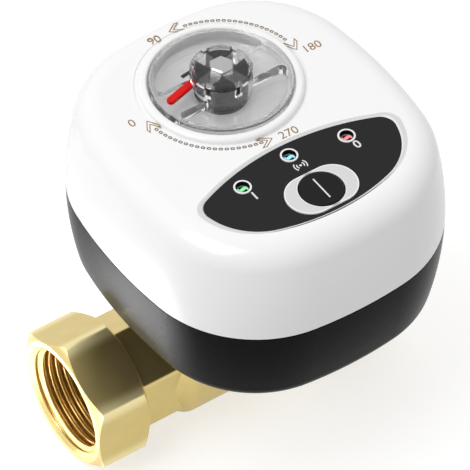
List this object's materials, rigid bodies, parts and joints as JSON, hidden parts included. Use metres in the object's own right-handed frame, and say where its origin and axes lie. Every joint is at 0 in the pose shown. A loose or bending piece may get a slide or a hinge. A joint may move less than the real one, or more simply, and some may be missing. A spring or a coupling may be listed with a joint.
{
  "type": "smart water valve",
  "caption": "Motorised ball valve for a threaded water pipe: brass body and ball under a two-part plastic drive housing with a lamp panel, push button and clear manual knob.",
  "frame": {"origin": "centre of the inlet thread's mouth, where its threaded wall starts, on the pipe's axis", "axes": "+X along the pipe from inlet to outlet, +Z along the valve stem up to the dial, -Y towards the button's side of the housing"},
  "size_m": [0.0873, 0.082, 0.1027],
  "materials": {
    "cast_brass": "fine cast and turned brass, satin",
    "ball_chrome": "polished chrome plating",
    "seat_ptfe": "smooth PTFE",
    "seal_rubber": "matt nitrile rubber",
    "stem_steel": "turned stainless steel",
    "screw_steel": "zinc plated steel",
    "white_plastic": "glossy moulded ABS",
    "black_plastic": "satin moulded ABS",
    "plate_steel": "stamped zinc plated sheet",
    "bush_bronze": "sintered bronze",
    "gear_acetal": "moulded acetal",
    "motor_can": "drawn steel can",
    "switch_black": "moulded phenolic",
    "board_green": "solder masked glass laminate",
    "radio_shield": "tinned shield can",
    "terminal_green": "moulded nylon",
    "panel_black": "black acrylic sheet",
    "bezel_white": "white moulded ring",
    "surround_grey": "light grey moulded trim",
    "button_black": "black moulded button",
    "knob_clear": "clear polycarbonate, polished",
    "hub_dark": "dark grey acetal",
    "pointer_red": "red moulded plastic",
    "spring_steel": "spring wire",
    "lamp_green": "tinted epoxy",
    "lamp_cyan": "tinted epoxy",
    "lamp_red": "tinted epoxy"
  },
  "bodies": {
    "fixed_parts": {"valve_body": "cast_brass", "end_cap": "cast_brass", "inlet_seat": "seat_ptfe", "outlet_seat": "seat_ptfe", "body_seal": "seal_rubber", "thrust_washer": "seat_ptfe", "mounting_screws": "screw_steel", "lower_housing": "black_plastic", "upper_cover": "white_plastic", "housing_gasket": "seal_rubber", "housing_screws": "screw_steel", "shaft_seal": "seal_rubber", "cable_grommet": "seal_rubber", "base_plate": "plate_steel", "top_plate": "plate_steel", "gearbox_spacers": "screw_steel", "gearbox_screws": "screw_steel", "gear_axles": "stem_steel", "lower_bush": "bush_bronze", "upper_bush": "bush_bronze", "gear_motor": "motor_can", "open_switch": "switch_black", "shut_switch": "switch_black", "circuit_board": "board_green", "board_screws": "screw_steel", "radio_module": "radio_shield", "terminal_block": "terminal_green", "tact_switch": "switch_black", "control_panel": "panel_black", "lamp_bezels": "bezel_white", "button_surround": "surround_grey", "left_lamp": "lamp_green", "middle_lamp": "lamp_cyan", "right_lamp": "lamp_red"},
    "spindle": {"ball": "ball_chrome", "stem": "stem_steel", "stem_rings": "seal_rubber", "output_shaft": "stem_steel", "output_gear": "gear_acetal", "limit_cam": "gear_acetal", "knob_spring": "spring_steel"},
    "slow_gear": {"slow_gear": "gear_acetal"},
    "fast_gear": {"fast_gear": "gear_acetal"},
    "motor_rotor": {"motor_pinion": "bush_bronze", "motor_shaft": "stem_steel"},
    "knob": {"dial_knob": "knob_clear", "clutch_hub": "hub_dark", "pointer": "pointer_red"},
    "button": {"power_button": "button_black", "switch_plunger": "switch_black"}
  },
  "joints": [
    {"name": "valve_turn", "type": "hinge", "parent": "fixed_parts", "child": "spindle", "pos_m": [0.04285, 0, 0.0427], "axis": [0, 0, -1], "range_deg": [0, 90]},
    {"name": "slow_gear_spin", "type": "hinge", "parent": "fixed_parts", "child": "slow_gear", "pos_m": [0.05093, -0.02052, 0.045], "axis": [0, 0, -1], "range_deg": [-288.5, 0.5]},
    {"name": "fast_gear_spin", "type": "hinge", "parent": "fixed_parts", "child": "fast_gear", "pos_m": [0.03594, -0.02005, 0.045], "axis": [0, 0, -1], "range_deg": [-0.5, 864.5]},
    {"name": "motor_spin", "type": "hinge", "parent": "fixed_parts", "child": "motor_rotor", "pos_m": [0.0351, -0.03202, 0.05], "axis": [0, 0, -1], "range_deg": [-2592.5, 0.5]},
    {"name": "knob_press", "type": "slide", "parent": "spindle", "child": "knob", "axis": [0, 0, -1], "range_m": [0, 0.0015], "stiffness_N_per_m": 1200, "springref_m": -0.002, "deforming": ["knob_spring"]},
    {"name": "button_press", "type": "slide", "parent": "fixed_parts", "child": "button", "axis": [0, 0, -1], "range_m": [0, 0.0005], "stiffness_N_per_m": 1500, "springref_m": -0.0008}
  ],
  "couplings": [
    {"joint": "slow_gear_spin", "follows": "valve_turn", "ratio": -3.2},
    {"joint": "fast_gear_spin", "follows": "valve_turn", "ratio": 9.6},
    {"joint": "motor_spin", "follows": "valve_turn", "ratio": -28.8}
  ]
}
